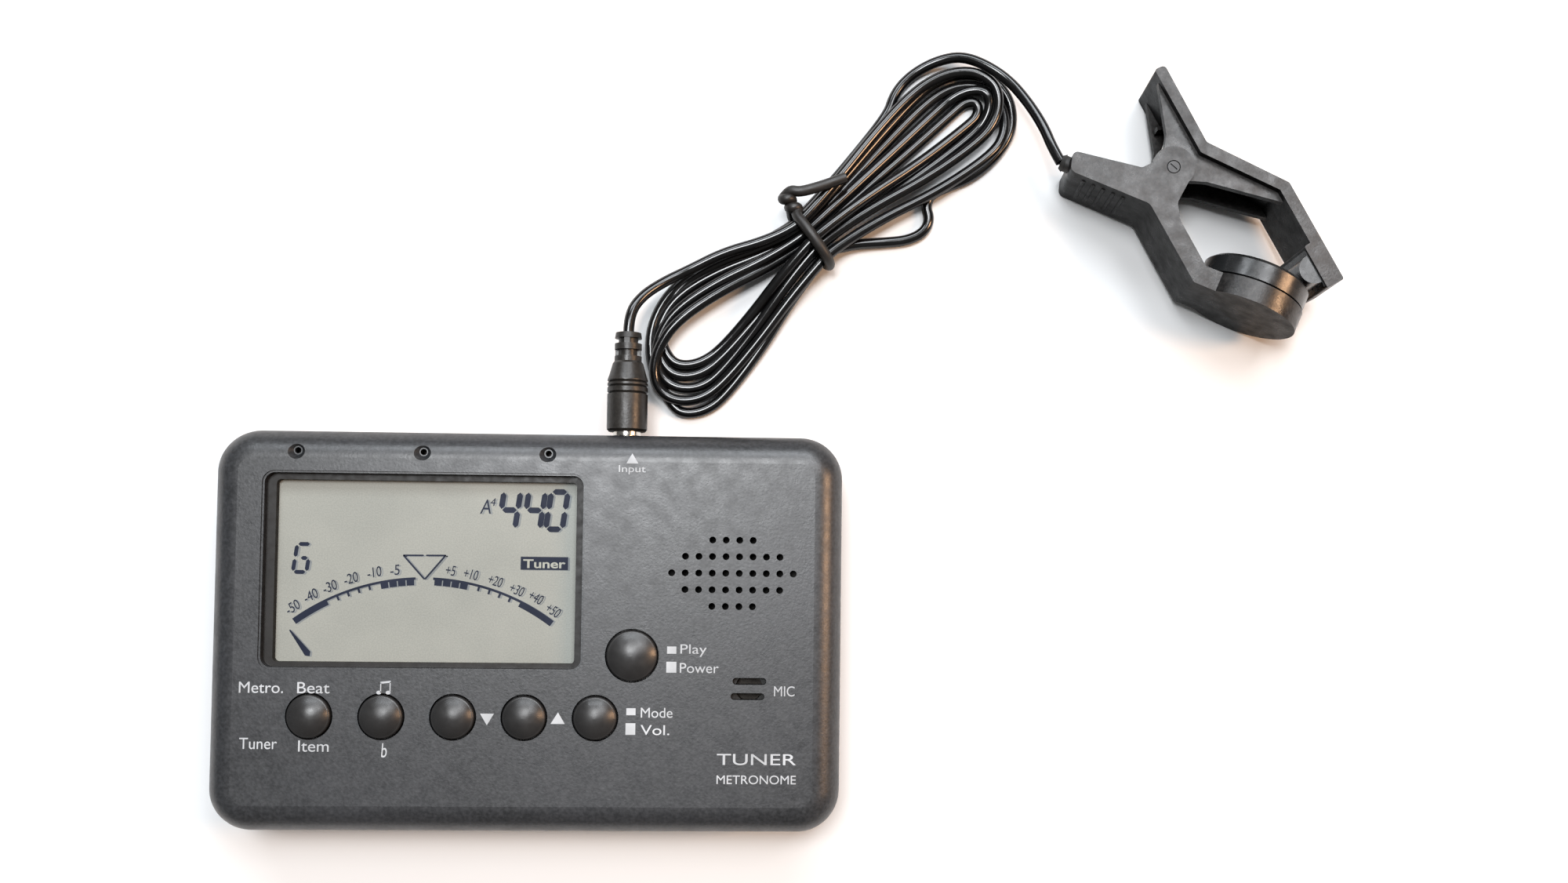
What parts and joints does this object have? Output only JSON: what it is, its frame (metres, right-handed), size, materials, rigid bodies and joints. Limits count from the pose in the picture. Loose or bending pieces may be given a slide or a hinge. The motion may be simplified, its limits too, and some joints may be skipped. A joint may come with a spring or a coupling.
{
  "type": "tuner with clip-on pickup",
  "caption": "Pocket tuner and metronome box with a display, domed keys, speaker grille and jack, and a plug-in lead tied in a hank that ends in a spring clip pickup.",
  "frame": {"origin": "centre of the tuner's flat back face", "axes": "+X along the tuner's long side, +Y towards the edge with the input jack, +Z out of the display"},
  "size_m": [0.2002, 0.1443, 0.0201],
  "materials": {
    "case_plastic": "fine matte texture, dark grey",
    "bezel_black": "black",
    "display_glass": "clear glass over a grey-green reflective liquid crystal",
    "reflector": "matte foil",
    "zebra_rubber": "soft",
    "board_green": "solder mask over glass fibre",
    "component_black": "moulded epoxy",
    "key_plastic": "semi-gloss grey",
    "mat_silicone": "translucent grey silicone",
    "lamp_lens": "clear resin",
    "speaker_metal": "pressed steel",
    "speaker_paper": "doped paper",
    "mic_metal": "drawn can",
    "soft_rubber": "black",
    "cell_jacket": "printed sleeve, plain",
    "spring_steel": "drawn wire",
    "nickel": "nickel plate",
    "screw_steel": "black-zinc plate",
    "jack_plastic": "black",
    "insulator": "black",
    "plug_plastic": "satin black",
    "cable_pvc": "glossy black sheath",
    "tie_plastic": "black plastic over wire",
    "clip_plastic": "fine matte texture, dark grey",
    "pad_rubber": "smooth black",
    "piezo_brass": "thin plate",
    "foam": "open cell",
    "rivet": "black oxide"
  },
  "bodies": {
    "housing": {"front_case": "case_plastic", "back_case": "case_plastic", "lcd_frame": "bezel_black", "lcd_glass": "display_glass", "lcd_reflector": "reflector", "zebra_strips": "zebra_rubber", "main_board": "board_green", "board_components": "component_black", "keypad_mat": "mat_silicone", "indicator_lamps": "lamp_lens", "speaker_frame": "speaker_metal", "speaker_cone": "speaker_paper", "mic_capsule": "mic_metal", "mic_boot": "soft_rubber", "battery_cells": "cell_jacket", "battery_spring": "spring_steel", "battery_contacts": "nickel", "case_screws": "screw_steel", "board_screws": "screw_steel", "input_jack": "jack_plastic", "jack_terminals": "nickel"},
    "key_beat": {"key_beat": "key_plastic"},
    "key_note": {"key_note": "key_plastic"},
    "key_down": {"key_down": "key_plastic"},
    "key_up": {"key_up": "key_plastic"},
    "key_mode": {"key_mode": "key_plastic"},
    "key_power": {"key_power": "key_plastic"},
    "battery_door": {"battery_door": "case_plastic"},
    "stand": {"stand": "case_plastic"},
    "lead": {"plug_tip": "nickel", "plug_insulator": "insulator", "plug_sleeve": "nickel", "plug_boot": "plug_plastic", "plug_cable": "cable_pvc", "cable_hank": "cable_pvc", "cable_tie": "tie_plastic", "clip_cable": "cable_pvc", "sensor_arm": "clip_plastic", "cable_gland": "soft_rubber", "sensor_lead": "cable_pvc", "piezo_disc": "piezo_brass", "foam_ring": "foam", "sensor_cap": "pad_rubber", "pivot_pin": "rivet", "torsion_spring": "spring_steel"},
    "clamp": {"clamp_arm": "clip_plastic", "jaw_pad": "pad_rubber"}
  },
  "joints": [
    {"name": "key_beat_press", "type": "slide", "parent": "housing", "child": "key_beat", "axis": [0, 0, -1], "range_m": [0, 0.0008], "stiffness_N_per_m": 500, "springref_m": -0.0002, "deforming": ["keypad_mat"]},
    {"name": "key_note_press", "type": "slide", "parent": "housing", "child": "key_note", "axis": [0, 0, -1], "range_m": [0, 0.0008], "stiffness_N_per_m": 500, "springref_m": -0.0002, "deforming": ["keypad_mat"]},
    {"name": "key_down_press", "type": "slide", "parent": "housing", "child": "key_down", "axis": [0, 0, -1], "range_m": [0, 0.0008], "stiffness_N_per_m": 500, "springref_m": -0.0002, "deforming": ["keypad_mat"]},
    {"name": "key_up_press", "type": "slide", "parent": "housing", "child": "key_up", "axis": [0, 0, -1], "range_m": [0, 0.0008], "stiffness_N_per_m": 500, "springref_m": -0.0002, "deforming": ["keypad_mat"]},
    {"name": "key_mode_press", "type": "slide", "parent": "housing", "child": "key_mode", "axis": [0, 0, -1], "range_m": [0, 0.0008], "stiffness_N_per_m": 500, "springref_m": -0.0002, "deforming": ["keypad_mat"]},
    {"name": "key_power_press", "type": "slide", "parent": "housing", "child": "key_power", "axis": [0, 0, -1], "range_m": [0, 0.0008], "stiffness_N_per_m": 500, "springref_m": -0.0002, "deforming": ["keypad_mat"]},
    {"name": "battery_door_slide", "type": "slide", "parent": "housing", "child": "battery_door", "axis": [0, -1, 0], "range_m": [0, 0.014]},
    {"name": "stand_hinge", "type": "hinge", "parent": "housing", "child": "stand", "pos_m": [0, 0.0125, 0.00085], "axis": [1, 0, 0], "range_deg": [0, 62]},
    {"name": "plug_pull", "type": "slide", "parent": "housing", "child": "lead", "axis": [0, 1, 0], "range_m": [0, 0.016]},
    {"name": "clip_hinge", "type": "hinge", "parent": "lead", "child": "clamp", "pos_m": [0.1148, 0.0847, 0.0081], "axis": [-0.0533, 0.0488, 0.9974], "range_deg": [0, 38], "stiffness_Nm_per_rad": 0.12, "springref_deg": -57.3, "deforming": ["torsion_spring"]}
  ]
}
